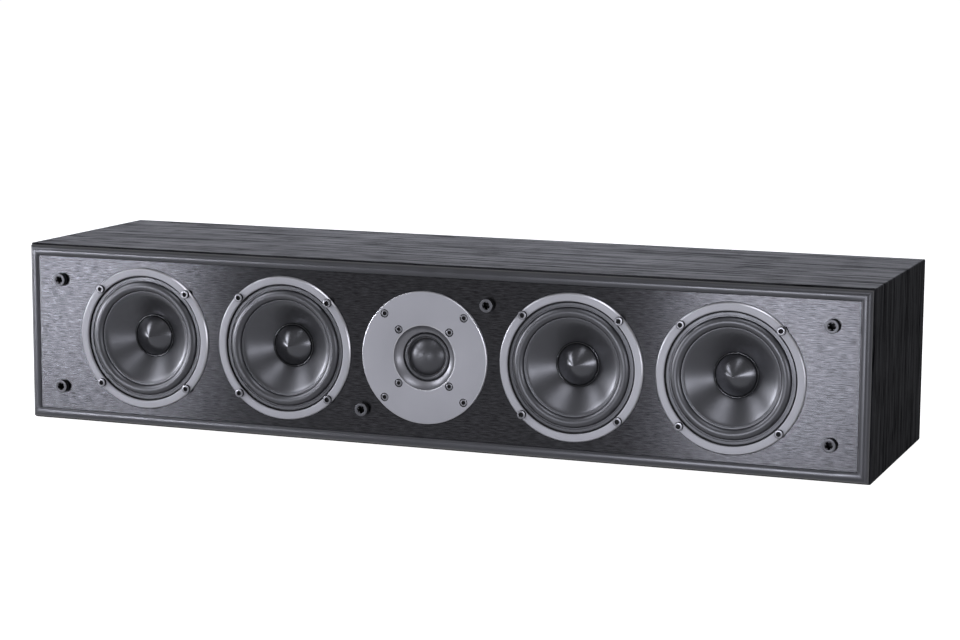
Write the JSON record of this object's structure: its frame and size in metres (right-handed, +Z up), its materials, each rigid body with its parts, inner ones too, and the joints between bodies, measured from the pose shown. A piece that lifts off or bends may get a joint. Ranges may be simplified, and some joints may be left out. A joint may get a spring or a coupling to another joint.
{
  "type": "center channel speaker",
  "caption": "Low wide loudspeaker box lying on its side, with cone woofers in a row on both sides of a dome tweeter, grille sockets, rear port and cable posts.",
  "frame": {"origin": "middle of the cabinet's underside, where it rests on a shelf", "axes": "+X along the cabinet to the right seen from the front, +Y from the front to the back, +Z up"},
  "size_m": [0.7, 0.1938, 0.145],
  "materials": {
    "black_ash_wrap": "satin wood-grain foil, grain along the cabinet",
    "satin_frame": "satin, fine texture",
    "brushed_front": "satin foil with fine lengthwise brushing",
    "black_board": "matt black foil",
    "raw_board": "raw fibre board",
    "silver_ring": "satin silver paint",
    "black_steel": "black powder coat",
    "black_rubber": "satin",
    "cone_black": "satin, faint texture",
    "cap_black": "half gloss",
    "copper_winding": "lacquered copper wire",
    "spider_cloth": "resin-stiffened cloth",
    "plain_steel": "zinc plated",
    "ferrite": "dull sintered",
    "screw_steel": "bright plated",
    "silver_plate": "satin bead-blasted",
    "dome_cloth": "coated cloth, satin",
    "socket_plastic": "satin",
    "black_plastic": "fine texture",
    "gilt_metal": "gilt, polished",
    "cap_red_plastic": "glossy red",
    "cap_black_plastic": "glossy black",
    "circuit_board": "lacquered",
    "film_capacitor": "glossy wrapped film",
    "wadding": "loose fibre"
  },
  "bodies": {
    "enclosure": {"cabinet_sleeve": "black_ash_wrap", "front_frame": "satin_frame", "front_baffle": "brushed_front", "rear_panel": "black_board", "brace_left": "raw_board", "brace_right": "raw_board", "woofer_1_trim_ring": "silver_ring", "woofer_1_basket": "black_steel", "woofer_1_surround": "black_rubber", "woofer_1_spider": "spider_cloth", "woofer_2_trim_ring": "silver_ring", "woofer_2_basket": "black_steel", "woofer_2_surround": "black_rubber", "woofer_2_spider": "spider_cloth", "woofer_3_trim_ring": "silver_ring", "woofer_3_basket": "black_steel", "woofer_3_surround": "black_rubber", "woofer_3_spider": "spider_cloth", "woofer_4_trim_ring": "silver_ring", "woofer_4_basket": "black_steel", "woofer_4_surround": "black_rubber", "woofer_4_spider": "spider_cloth", "woofer_top_plates": "plain_steel", "woofer_yokes": "plain_steel", "tweeter_top_plate": "plain_steel", "tweeter_yoke": "plain_steel", "woofer_magnets": "ferrite", "tweeter_magnet": "ferrite", "woofer_screws": "screw_steel", "tweeter_plate_screws": "screw_steel", "tweeter_motor_screws": "screw_steel", "terminal_cup_screws": "screw_steel", "tweeter_faceplate": "silver_plate", "tweeter_surround": "dome_cloth", "crossover_coils": "copper_winding", "grille_sockets": "socket_plastic", "reflex_port": "black_plastic", "terminal_cup": "black_plastic", "binding_posts": "gilt_metal", "crossover_board": "circuit_board", "crossover_capacitors": "film_capacitor", "damping_wadding": "wadding"},
    "woofer_1_diaphragm": {"woofer_1_cone": "cone_black", "woofer_1_dust_cap": "cap_black", "woofer_1_voice_coil": "copper_winding"},
    "woofer_2_diaphragm": {"woofer_2_cone": "cone_black", "woofer_2_dust_cap": "cap_black", "woofer_2_voice_coil": "copper_winding"},
    "woofer_3_diaphragm": {"woofer_3_cone": "cone_black", "woofer_3_dust_cap": "cap_black", "woofer_3_voice_coil": "copper_winding"},
    "woofer_4_diaphragm": {"woofer_4_cone": "cone_black", "woofer_4_dust_cap": "cap_black", "woofer_4_voice_coil": "copper_winding"},
    "tweeter_diaphragm": {"tweeter_dome": "dome_cloth", "tweeter_voice_coil": "copper_winding"},
    "black_clamp": {"clamp_washer_black": "gilt_metal"},
    "black_cap": {"post_cap_black": "cap_black_plastic"},
    "red_clamp": {"clamp_washer_red": "gilt_metal"},
    "red_cap": {"post_cap_red": "cap_red_plastic"}
  },
  "joints": [
    {"name": "woofer_1_travel", "type": "slide", "parent": "enclosure", "child": "woofer_1_diaphragm", "axis": [0, -1, 0], "range_m": [-0.004, 0.004], "stiffness_N_per_m": 800, "deforming": ["woofer_1_surround", "woofer_1_spider"]},
    {"name": "woofer_2_travel", "type": "slide", "parent": "enclosure", "child": "woofer_2_diaphragm", "axis": [0, -1, 0], "range_m": [-0.004, 0.004], "stiffness_N_per_m": 800, "deforming": ["woofer_2_surround", "woofer_2_spider"]},
    {"name": "woofer_3_travel", "type": "slide", "parent": "enclosure", "child": "woofer_3_diaphragm", "axis": [0, -1, 0], "range_m": [-0.004, 0.004], "stiffness_N_per_m": 800, "deforming": ["woofer_3_surround", "woofer_3_spider"]},
    {"name": "woofer_4_travel", "type": "slide", "parent": "enclosure", "child": "woofer_4_diaphragm", "axis": [0, -1, 0], "range_m": [-0.004, 0.004], "stiffness_N_per_m": 800, "deforming": ["woofer_4_surround", "woofer_4_spider"]},
    {"name": "tweeter_travel", "type": "slide", "parent": "enclosure", "child": "tweeter_diaphragm", "axis": [0, -1, 0], "range_m": [-0.0005, 0.0005], "stiffness_N_per_m": 2000, "deforming": ["tweeter_surround"]},
    {"name": "black_clamp_slide", "type": "slide", "parent": "enclosure", "child": "black_clamp", "axis": [0, 1, 0], "range_m": [0, 0.0021]},
    {"name": "black_cap_turn", "type": "hinge", "parent": "black_clamp", "child": "black_cap", "pos_m": [-0.0095, 0.08, 0.0725], "axis": [0, 1, 0], "range_deg": [0, 800]},
    {"name": "red_clamp_slide", "type": "slide", "parent": "enclosure", "child": "red_clamp", "axis": [0, 1, 0], "range_m": [0, 0.0021]},
    {"name": "red_cap_turn", "type": "hinge", "parent": "red_clamp", "child": "red_cap", "pos_m": [0.0095, 0.08, 0.0725], "axis": [0, 1, 0], "range_deg": [0, 800]}
  ],
  "couplings": [
    {"joint": "black_cap_turn", "follows": "black_clamp_slide", "rad_per_m": 6283.2},
    {"joint": "red_cap_turn", "follows": "red_clamp_slide", "rad_per_m": 6283.2}
  ]
}
